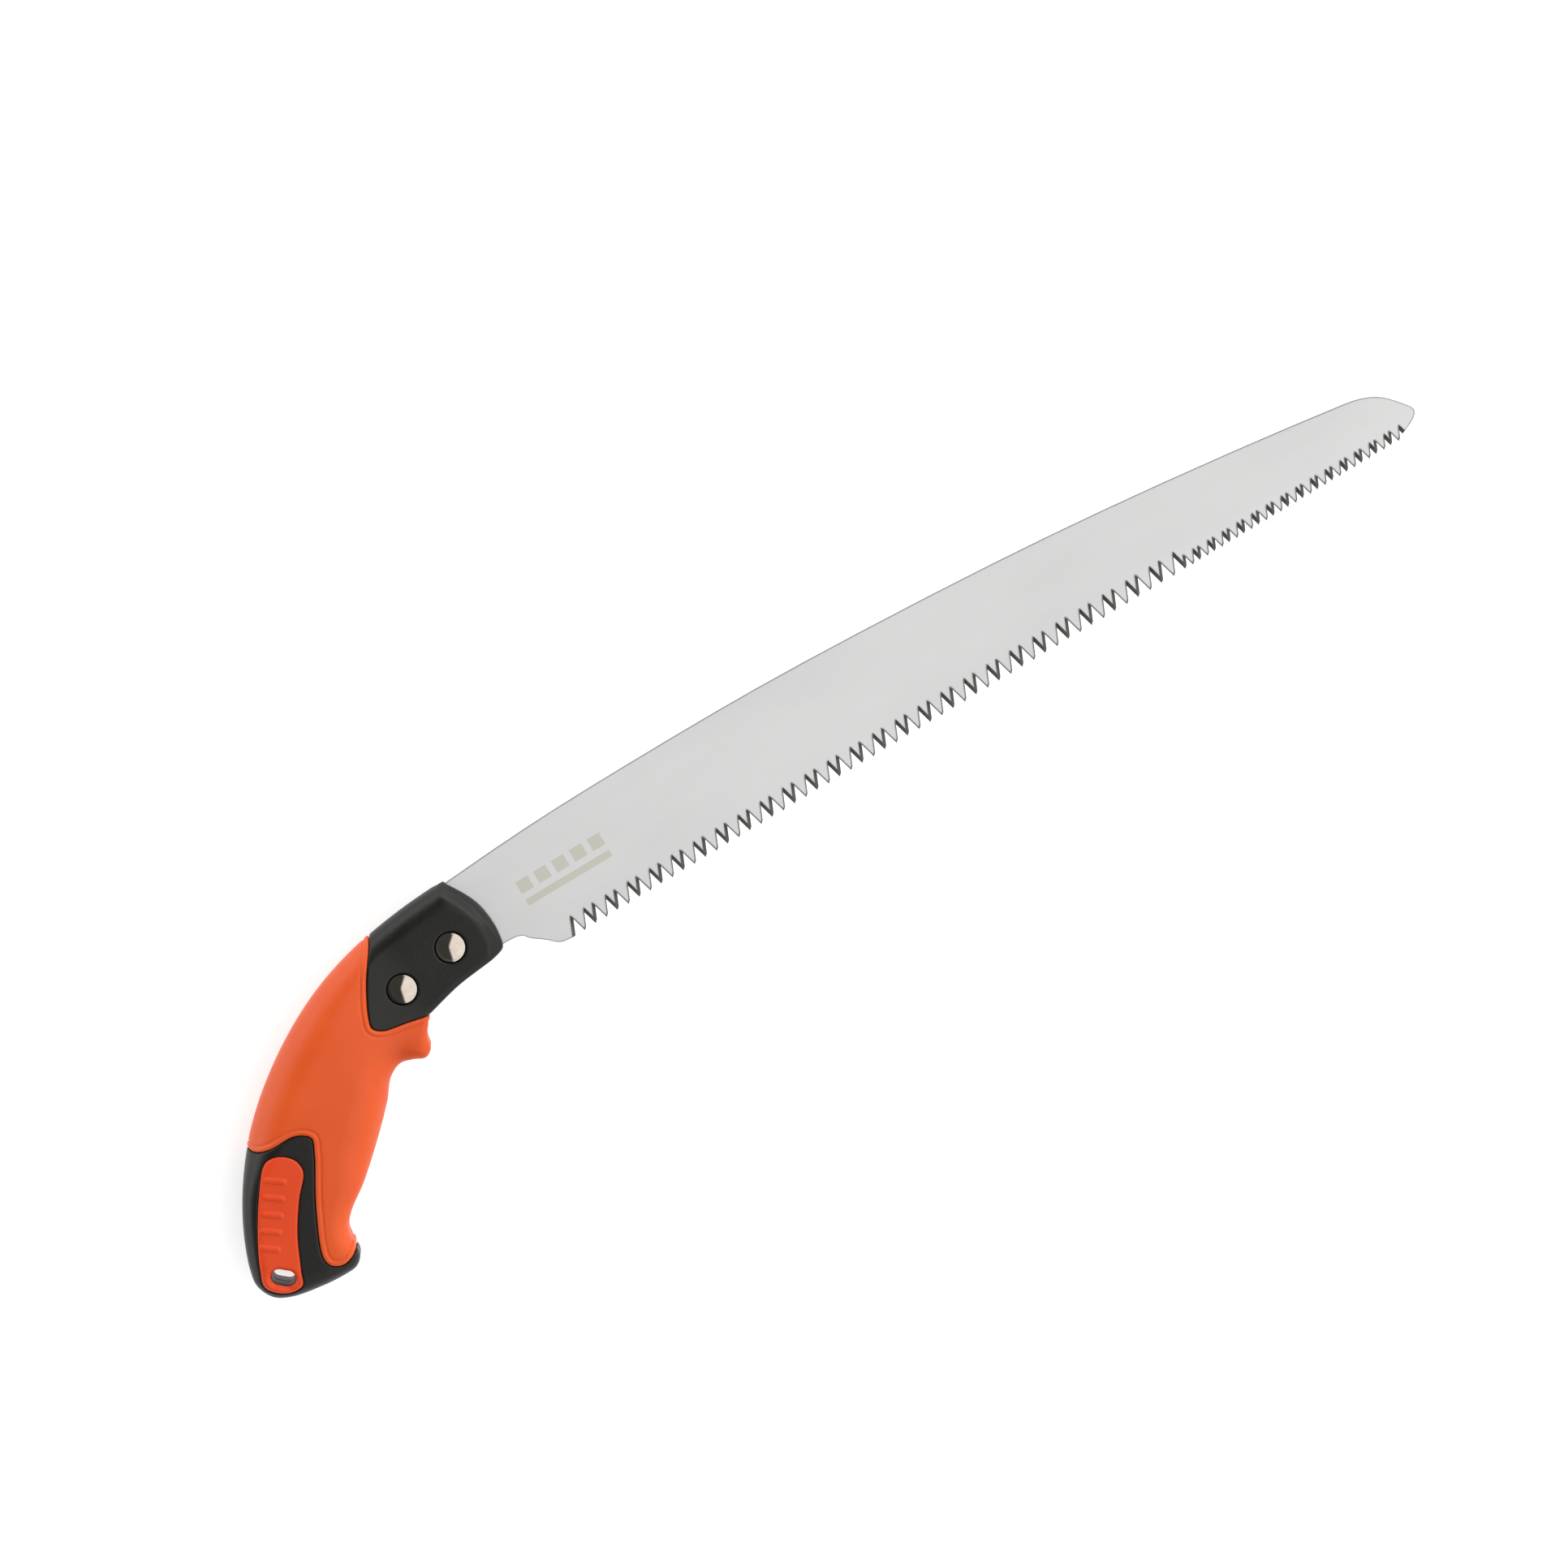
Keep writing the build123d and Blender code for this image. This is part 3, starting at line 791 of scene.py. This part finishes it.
@dataclass
class HandleShape:
    """The outside of the whole handle, and the lines that divide it into pieces."""

    grid: Grid
    bolts: tuple[Point, Point]
    bolster_half: float = 7.8
    grip_half: float = 11.8
    butt_half: float = 11.0
    grip_round: float = 11.2
    butt_round: float = 6.0
    top_round: float = 7.2
    top_crown: float = 0.0035
    belly_round: float = 1.8
    flange: float = 2.5
    flange_drop: float = 1.0
    flange_fall: float = 0.6
    flange_crease: float = 0.1
    ahead: tuple[Point, Point] = ((40.0, -9.4), (40.0, 18.6))
    crown_start: float = 1.0
    swell_span: Point = (14.0, 48.0)
    fade_span: Point = (64.0, 98.0)
    butt_way: Point = (-0.5, -0.866)
    butt_span: Point = (58.0, 78.0)
    bolster_round_span: Point = (-6.0, 12.0)
    grip_round_span: Point = (18.0, 44.0)
    scoop_centre: Point = (-31.5, -20.0)
    scoop_reach: Point = (6.2, 4.2)
    scoop_depth: float = 1.8
    sleeve_depth: float = 2.0
    sleeve_proud: float = 0.1
    groove_place: float = 1.9
    groove_depth: float = 0.34
    groove_reach: float = 0.32
    roll_place: float = 1.0
    roll_height: float = 0.12
    roll_reach: float = 0.7
    slot_length: float = 7.4
    slot_width: float = 4.6
    slot_centre: Point = (-96.4, -60.5)
    slot_angle: float = -41.0

    def __post_init__(self) -> None:
        """Works out the handle's field and the distances to its dividing lines."""
        grid = self.grid
        loop = HANDLE.chords()
        edge = grid.distance_to(loop)
        depth = grid.soft_depth(loop, edge)
        self.grip_edge = grid.distance_to(GRIP.chords())
        self.inlay_edge = grid.distance_to(curve_through(list(INLAY), closed=True))
        self.tang_edge = grid.distance_to(np.array(TANG))
        self.outside = self.rounded_body(depth)

    def butt_share(self) -> np.ndarray:
        """Returns 0 over the grip and 1 over the butt, with a smooth change."""
        along = self.butt_way[0] * self.grid.plane_x + self.butt_way[1] * self.grid.plane_y
        return ramp(along, *self.butt_span)

    def half_thickness(self) -> np.ndarray:
        """Returns half the handle's thickness over the drawing plane."""
        x, y = self.grid.plane_x, self.grid.plane_y
        swell = ramp(-x, *self.swell_span)
        fade = ramp(-x, *self.fade_span)
        thick = self.bolster_half + (self.grip_half - self.bolster_half) * swell
        thick = thick - (self.grip_half - self.butt_half) * fade
        (scoop_x, scoop_y), (reach_x, reach_y) = self.scoop_centre, self.scoop_reach
        scoop = np.exp(-((x - scoop_x) / reach_x) ** 2 - ((y - scoop_y) / reach_y) ** 2)
        front = self.grid.distance_to(np.vstack([curve_through(list(BOLSTER_FRONT)), self.ahead]))
        fall = self.flange_fall * np.clip(1.0 - front / self.flange, 0.0, 1.0)
        step = self.flange_drop * (1.0 - ramp(front, self.flange - 0.3, self.flange + 2.2))
        crease = self.flange_crease * np.exp(-((front - self.flange) / 0.5) ** 2)
        crown = self.top_crown * np.maximum(y - self.crown_start, 0.0) ** 2 * (1.0 - swell)
        return thick - self.scoop_depth * scoop - fall - step - crease - crown

    def edge_radius(self) -> np.ndarray:
        """Returns how broadly the long edges are rounded over the drawing plane."""
        x, y = self.grid.plane_x, self.grid.plane_y
        upper = ramp(y, *self.bolster_round_span)
        bolster = self.belly_round + (self.top_round - self.belly_round) * upper
        grip = bolster + (self.grip_round - bolster) * ramp(-x, *self.grip_round_span)
        return grip + (self.butt_round - grip) * self.butt_share()

    def rounded_body(self, depth: np.ndarray) -> np.ndarray:
        """Rounds the extruded outline.

        Args:
            depth: How deep each cell of the plane is inside the outline.

        Returns:
            The field of the whole handle.
        """
        radius = self.edge_radius()[:, :, None]
        across = radius - depth[:, :, None]
        up = np.abs(self.grid.deep) - self.half_thickness()[:, :, None] + radius
        corner = np.sqrt(np.maximum(across, 0.0) ** 2 + np.maximum(up, 0.0) ** 2)
        return corner + np.minimum(np.maximum(across, up), 0.0) - radius

    def slot_axes(self) -> tuple[np.ndarray, np.ndarray]:
        """Returns how far each cell is along and across the lanyard slot from its centre."""
        turn = math.radians(self.slot_angle)
        x = self.grid.plane_x - self.slot_centre[0]
        y = self.grid.plane_y - self.slot_centre[1]
        return x * math.cos(turn) + y * math.sin(turn), -x * math.sin(turn) + y * math.cos(turn)

    def slot_edge(self) -> np.ndarray:
        """Returns the signed distance to the lanyard slot, negative inside it."""
        along, across = self.slot_axes()
        reach = (self.slot_length - self.slot_width) / 2
        return np.hypot(np.maximum(np.abs(along) - reach, 0.0), across) - self.slot_width / 2

    def slot_below(self) -> np.ndarray:
        """Returns 1 on the slot's side towards the end of the butt and -1 on the other."""
        return np.tanh(-self.slot_axes()[1] / 2.0)

    def sleeve_surface(self) -> np.ndarray:
        """Returns the field of the grip's outside, with the groove beside its edges."""
        lip = (self.grip_edge + self.groove_place) / self.groove_reach
        groove = self.groove_depth * np.exp(-lip ** 2)
        roll = self.roll_height * np.exp(-((self.grip_edge + self.roll_place) / self.roll_reach) ** 2)
        return self.outside + (groove - roll - self.sleeve_proud)[:, :, None]


@dataclass
class CoreHalf:
    """One half of the hard black core, with its sockets, seats and lanyard slot."""

    shape: HandleShape
    datum: Datum
    side: Side
    nut_seat: float = 4.92
    washer_seat: float = 4.95
    nut_floor: float = 6.3
    washer_floor: float = 5.0
    slot_half: float = 0.68
    pocket_depth: float = 1.5
    step_gap: float = 0.06
    seam_gap: float = 0.05
    seam_round: float = 0.5
    slot_round: float = 0.3
    seat_round: float = 0.45

    def node(self) -> str:
        """Returns the name of the frame node that this piece stands for."""
        return "core_right" if self.side is Side.RIGHT else "core_left"

    def build(self, finish: bpy.types.Material) -> bpy.types.Object:
        """Makes the half's mesh.

        Args:
            finish: The material to dress it in.

        Returns:
            The new object.
        """
        shape = self.shape
        grid = shape.grid
        deep = grid.deep * self.side.value
        bare = both(shape.outside, self.step_gap - shape.grip_edge[:, :, None], self.seam_round)
        values = np.minimum(bare, shape.outside + shape.sleeve_depth)
        window = shape.inlay_edge[:, :, None] - self.step_gap
        values = both(values, -np.maximum(window, -(shape.outside + self.pocket_depth)), self.slot_round)
        cord = np.broadcast_to(shape.slot_edge()[:, :, None], values.shape)
        values = both(values, -cord, self.slot_round)
        tang = np.maximum(shape.tang_edge[:, :, None], np.abs(grid.deep) - self.slot_half)
        values = np.maximum(values, -tang)
        right = self.side is Side.RIGHT
        radius, floor = (self.nut_seat, self.nut_floor) if right else (self.washer_seat, self.washer_floor)
        for x, y in shape.bolts:
            gap = np.hypot(grid.plane_x - x, grid.plane_y - y)[:, :, None]
            values = both(values, -np.maximum(gap - radius, floor - deep), self.seat_round)
        values = both(values, self.seam_gap - deep, self.seam_round)
        piece = surface_mesh(f"{self.node()}_moulding", grid, values, self.datum)
        piece.data.materials.append(finish)
        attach(piece, "handle")
        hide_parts(self.node())
        return piece


@dataclass
class GripSleeve:
    """The soft orange grip moulded over the core, with its finger horn."""

    shape: HandleShape
    datum: Datum
    lip_round: float = 1.1
    lip_gap: float = 0.04
    core_gap: float = 0.05

    def build(self, finish: bpy.types.Material) -> bpy.types.Object:
        """Makes the sleeve's mesh.

        Args:
            finish: The material to dress it in.

        Returns:
            The new object.
        """
        shape = self.shape
        lip = shape.grip_edge[:, :, None] + self.lip_gap
        values = both(shape.sleeve_surface(), lip, self.lip_round)
        values = np.maximum(values, -(shape.outside + shape.sleeve_depth - self.core_gap))
        piece = surface_mesh("grip_sleeve_moulding", shape.grid, values, self.datum)
        piece.data.materials.append(finish)
        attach(piece, "handle")
        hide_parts("grip_sleeve")
        return piece


@dataclass
class Inlay:
    """The orange plate in one side of the butt, with plain raised bars and a dished slot."""

    shape: HandleShape
    datum: Datum
    side: Side
    proud: float = 0.12
    bars: int = 5
    bar_reach: float = 2.6
    bar_half: float = 0.75
    bar_rise: float = 0.4
    first_bar: Point = (-95.4, -50.5)
    last_bar: Point = (-83.0, -33.5)
    rim_round: float = 0.7
    dish_round: float = 0.35
    dish_reach: float = 1.15
    dish_lean: float = 0.45
    dish_span: Point = (-1.7, 0.1)
    depth: float = 1.42
    inner_limit: float = 1.0

    def raised_bars(self) -> np.ndarray:
        """Returns the height of the plain bars that decorate the plate."""
        grid = self.shape.grid
        height = np.zeros(grid.plane_x.shape, dtype=np.float32)
        start, stop = np.array(self.first_bar), np.array(self.last_bar)
        way = (stop - start) / np.linalg.norm(stop - start)
        lean = np.array((way[1], -way[0]))
        for number in range(self.bars):
            middle = start + (stop - start) * number / (self.bars - 1)
            x, y = grid.plane_x - middle[0], grid.plane_y - middle[1]
            along = np.abs(x * lean[0] + y * lean[1])
            across = -x * lean[1] + y * lean[0]
            edge = np.hypot(np.maximum(along - self.bar_reach, 0.0), across) - self.bar_half
            height = np.maximum(height, self.bar_rise * ramp(-edge, -0.3, 0.3))
        return height

    def build(self, finish: bpy.types.Material) -> bpy.types.Object:
        """Makes the plate's mesh.

        Args:
            finish: The material to dress it in.

        Returns:
            The new object.
        """
        shape = self.shape
        name = "inlay_right" if self.side is Side.RIGHT else "inlay_left"
        surface = shape.outside - self.proud - self.raised_bars()[:, :, None]
        values = both(surface, shape.inlay_edge[:, :, None], self.rim_round)
        reach = (self.dish_reach + self.dish_lean * shape.slot_below())[:, :, None]
        flare = reach * ramp(shape.outside, *self.dish_span) ** 1.5
        values = both(values, flare - shape.slot_edge()[:, :, None], self.dish_round)
        values = np.maximum(values, -(shape.outside + self.depth))
        values = np.maximum(values, self.inner_limit - shape.grid.deep * self.side.value)
        piece = surface_mesh(f"{name}_plate", shape.grid, values, self.datum)
        piece.data.materials.append(finish)
        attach(piece, "handle")
        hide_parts(name)
        return piece


# ------------------------------------------------------------------ the fasteners
@dataclass
class DomedNut:
    """Sleeve nut with a low polished dome and a hollow barrel."""

    datum: Datum
    end: End
    dome: float = 1.45
    dome_steps: int = 14
    rim_round: float = 0.28
    rim_steps: int = 4
    head: float = 2.4
    barrel: float = 3.0
    barrel_chamfer: float = 0.3
    bore: float = 2.0
    roof: float = 1.0
    drill_point: float = 0.6
    turns: int = 96

    def profile(self) -> list[Point]:
        """Returns the nut's section as radius and height in millimetres, from its top."""
        low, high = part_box(f"domed_nut_{self.end.value}")
        top = (high[2] - self.datum.origin.z) / MILLIMETRE
        bottom = (low[2] - self.datum.origin.z) / MILLIMETRE
        radius = (high[0] - low[0]) / 2 / MILLIMETRE
        floor = top - self.head
        ball = (radius * radius + self.dome * self.dome) / (2 * self.dome)
        section: list[Point] = [(0.0, top)]
        for step in range(1, self.dome_steps + 1):
            r = (radius - self.rim_round) * step / self.dome_steps
            section.append((r, top - ball + math.sqrt(ball * ball - r * r)))
        edge_height = section[-1][1]
        for step in range(1, self.rim_steps + 1):
            turn = math.pi / 2 * step / self.rim_steps
            drop = self.rim_round * (1 - math.cos(turn))
            section.append((radius - self.rim_round * (1 - math.sin(turn)), edge_height - drop))
        roof = floor - self.roof
        section += [(radius, floor), (self.barrel, floor), (self.barrel, bottom + self.barrel_chamfer),
                    (self.barrel - self.barrel_chamfer, bottom), (self.bore, bottom),
                    (self.bore, roof), (0.0, roof - self.drill_point)]
        return section

    def build(self, finish: bpy.types.Material) -> bpy.types.Object:
        """Makes the nut's mesh.

        Args:
            finish: The material to dress it in.

        Returns:
            The new object.
        """
        section = self.profile()
        x, y = self.datum.bolt(self.end)
        centre = self.datum.origin + Vector((x, y, 0.0)) * MILLIMETRE
        places: list[Vector] = []
        rings: list[list[int]] = []
        for radius, height in section:
            count = 1 if radius == 0.0 else self.turns
            ring = []
            for step in range(count):
                turn = 2 * math.pi * step / self.turns
                spot = Vector((radius * math.cos(turn), radius * math.sin(turn), height))
                ring.append(len(places))
                places.append(centre + spot * MILLIMETRE)
            rings.append(ring)
        faces: list[tuple[int, ...]] = []
        for upper, lower in zip(rings[:-1], rings[1:]):
            for step in range(self.turns):
                after = (step + 1) % self.turns
                if len(upper) == 1:
                    faces.append((upper[0], lower[step], lower[after]))
                elif len(lower) == 1:
                    faces.append((upper[step], lower[0], upper[after]))
                else:
                    faces.append((upper[step], lower[step], lower[after], upper[after]))
        name = f"domed_nut_{self.end.value}"
        mesh = bpy.data.meshes.new(f"{name}_turned")
        mesh.from_pydata(places, [], faces)
        mesh.polygons.foreach_set("use_smooth", [True] * len(mesh.polygons))
        mesh.set_sharp_from_angle(angle=math.radians(40))
        mesh.materials.append(finish)
        piece = bpy.data.objects.new(f"{name}_turned", mesh)
        bpy.context.scene.collection.objects.link(piece)
        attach(piece, f"nut_{self.end.value}")
        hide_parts(name)
        return piece


@dataclass
class FrameParts:
    """The frame's own meshes that keep their shape and only get a finish."""

    nodes: dict[str, bpy.types.Object]

    def dress(self, name: str, finish: bpy.types.Material) -> None:
        """Gives one frame node its finish.

        Args:
            name: The node's name.
            finish: The material to dress it in.
        """
        piece = self.nodes[name]
        for index in range(len(piece.material_slots)):
            piece.material_slots[index].material = finish
        if not piece.material_slots:
            piece.data.materials.append(finish)
        log.info("%s: dressed in %s", name, finish.name)


# ------------------------------------------------------------------ the studio
@dataclass
class Studio:
    """Pale floor, soft lights and the camera that looks down on the saw."""

    roll: float = 31.1
    tilt: float = 5.1
    distance: float = 2.0
    frame_width: float = 0.47775
    aim: tuple[float, float] = (-0.0057, 0.0161)
    floor_size: float = 8.0
    floor_steps: int = 8
    floor_gap: float = 0.0002
    room_colour: Colour = (1.0, 0.995, 0.985)
    room_level: float = 0.09
    key_level: float = 1.74
    key_turn: float = 18.0
    key_edge: Point = (-0.2, -0.02)
    key_height: Point = (0.3, 0.5)
    rim_level: float = 2.9
    rim_turn: float = 118.0
    rim_edge: Point = (-0.5, 0.5)
    rim_height: Point = (-0.5, -0.25)
    rim_everywhere: float = 0.22
    softbox_place: tuple[float, float, float] = (1.1, -0.7, 1.3)
    softbox_size: float = 1.0
    softbox_power: float = 5.0

    def build_floor(self, finish: bpy.types.Material) -> bpy.types.Object:
        """Makes the floor that the saw lies on.

        Args:
            finish: The material to dress it in.

        Returns:
            The floor.
        """
        low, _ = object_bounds()
        reach, steps = self.floor_size / 2, self.floor_steps
        mesh = bpy.data.meshes.new("floor")
        places, faces = [], []
        for row in range(steps + 1):
            for column in range(steps + 1):
                x = -reach + self.floor_size * column / steps
                y = -reach + self.floor_size * row / steps
                places.append((x, y, low[2] - self.floor_gap))
        for row in range(steps):
            for column in range(steps):
                start = row * (steps + 1) + column
                faces.append((start, start + 1, start + steps + 2, start + steps + 1))
        mesh.from_pydata(places, [], faces)
        mesh.materials.append(finish)
        floor = bpy.data.objects.new("floor", mesh)
        bpy.context.scene.collection.objects.link(floor)
        floor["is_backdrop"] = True
        return floor

    def build_softbox(self) -> bpy.types.Object:
        """Hangs one softbox beside the saw and returns it."""
        data = bpy.data.lights.new("side_softbox", "AREA")
        data.shape = "DISK"
        data.size = self.softbox_size
        data.energy = self.softbox_power
        lamp = bpy.data.objects.new("side_softbox", data)
        lamp.location = self.softbox_place
        lamp.rotation_euler = (-Vector(self.softbox_place)).to_track_quat("-Z", "Y").to_euler()
        lamp.visible_glossy = False
        bpy.context.scene.collection.objects.link(lamp)
        return lamp

    def build_room(self) -> bpy.types.World:
        """Lights the room: a broad key from one side, a low rim all round and a dim ceiling.

        Returns:
            The world, already set on the scene.
        """
        world = bpy.data.worlds.new("studio_room")
        world.use_nodes = True
        nodes, links = world.node_tree.nodes, world.node_tree.links
        background = nodes["Background"]
        background.inputs["Color"].default_value = (*self.room_colour, 1.0)
        coordinates = nodes.new("ShaderNodeTexCoord")

        def share(axis: tuple[float, float, float], start: float, stop: float) -> bpy.types.Node:
            """Returns a node that rises from 0 to 1 as the direction turns towards an axis."""
            dot = nodes.new("ShaderNodeVectorMath")
            dot.operation = "DOT_PRODUCT"
            dot.inputs[1].default_value = axis
            links.new(coordinates.outputs["Generated"], dot.inputs[0])
            rise = nodes.new("ShaderNodeMapRange")
            rise.interpolation_type = "SMOOTHSTEP"
            rise.inputs["From Min"].default_value = start
            rise.inputs["From Max"].default_value = stop
            links.new(dot.outputs["Value"], rise.inputs["Value"])
            return rise

        def combined(kind: str, first: bpy.types.Node, second: bpy.types.Node | float) -> bpy.types.Node:
            """Returns a node that adds or multiplies two values."""
            node = nodes.new("ShaderNodeMath")
            node.operation = kind
            links.new(first.outputs[0], node.inputs[0])
            if isinstance(second, bpy.types.Node):
                links.new(second.outputs[0], node.inputs[1])
            else:
                node.inputs[1].default_value = second
            return node

        wedge = []
        for turn in (self.key_turn - self.roll, -self.key_turn - self.roll):
            angle = math.radians(turn)
            wedge.append(share((math.cos(angle), math.sin(angle), 0.0), *self.key_edge))
        high = combined("MULTIPLY", share((0.0, 0.0, 1.0), *self.key_height), self.key_level)
        key = combined("MULTIPLY", combined("MULTIPLY", *wedge), high)
        angle = math.radians(self.rim_turn - self.roll)
        side = share((math.cos(angle), math.sin(angle), 0.0), *self.rim_edge)
        facing = combined("ADD", side, self.rim_everywhere)
        low = combined("MULTIPLY", share((0.0, 0.0, -1.0), *self.rim_height), self.rim_level)
        rim = combined("MULTIPLY", low, facing)
        total = combined("ADD", combined("ADD", key, rim), self.room_level)
        links.new(total.outputs[0], background.inputs["Strength"])
        bpy.context.scene.world = world
        bpy.context.scene.view_settings.view_transform = "Standard"
        return world

    def build_camera(self, datum: Datum) -> bpy.types.Object:
        """Sets up the camera above the saw.

        Args:
            datum: Where the drawing sits in the frame.

        Returns:
            The camera.
        """
        tilt, roll = math.radians(self.tilt), math.radians(self.roll)
        away = Vector((0.0, math.sin(tilt), math.cos(tilt)))
        right = Vector((math.cos(roll), -math.sin(roll), 0.0))
        right = (right - away * right.dot(away)).normalized()
        up = away.cross(right)
        data = bpy.data.cameras.new("camera")
        data.sensor_fit = "HORIZONTAL"
        data.sensor_width = 36.0
        data.lens = 36.0 * self.distance / self.frame_width
        camera = bpy.data.objects.new("camera", data)
        target = Vector((self.aim[0], self.aim[1], datum.origin.z))
        turned = Matrix((right, up, away)).transposed().to_4x4()
        camera.matrix_world = Matrix.Translation(target + away * self.distance) @ turned
        bpy.context.scene.collection.objects.link(camera)
        bpy.context.scene.camera = camera
        return camera


# ------------------------------------------------------------------ putting it together
def main() -> None:
    """Builds every piece in order, dresses the frame's own parts and sets up the studio."""
    logging.basicConfig(level=logging.INFO, format="%(name)s: %(message)s")
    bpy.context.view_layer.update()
    datum = Datum.from_frame()
    bolts = (datum.bolt(End.FRONT), datum.bolt(End.REAR))

    resin = MouldedFinish("core_resin", (0.007, 0.0066, 0.006), (0.005, 0.0048, 0.0044),
                          roughness=0.4, specular=0.28, grain=1.3, grain_depth=0.07).build()
    rubber = MouldedFinish("grip_rubber", (0.63, 0.078, 0.009), (0.6, 0.07, 0.008),
                           roughness=0.5, specular=0.3, grain=2.6, grain_depth=0.012, sheen=0.03).build()
    plate = MouldedFinish("inlay_resin", (0.64, 0.052, 0.006), (0.61, 0.047, 0.005),
                          roughness=0.42, specular=0.3, grain=2.4, grain_depth=0.01).build()
    steel = BladeFinish(datum).build()
    nickel = PlatedFinish("nut_nickel", (0.455, 0.402, 0.35), roughness=0.05, scratch=0.002).build()
    zinc = PlatedFinish("screw_steel", (0.62, 0.62, 0.6), roughness=0.3, scratch=0.006).build()

    parts = FrameParts(frame["nodes"])
    parts.dress("blade", steel)
    for end in End:
        parts.dress(f"screw_{end.value}", zinc)
        parts.dress(f"washer_{end.value}", zinc)

    shape = HandleShape(Grid(), bolts)
    for side in Side:
        CoreHalf(shape, datum, side).build(resin)
        Inlay(shape, datum, side).build(plate)
    GripSleeve(shape, datum).build(rubber)
    for end in End:
        DomedNut(datum, end).build(nickel)

    studio = Studio()
    studio.build_floor(FloorFinish().build())
    studio.build_softbox()
    studio.build_room()
    studio.build_camera(datum)

    log.info("all pieces are in place")


if __name__ == "__main__":
    main()
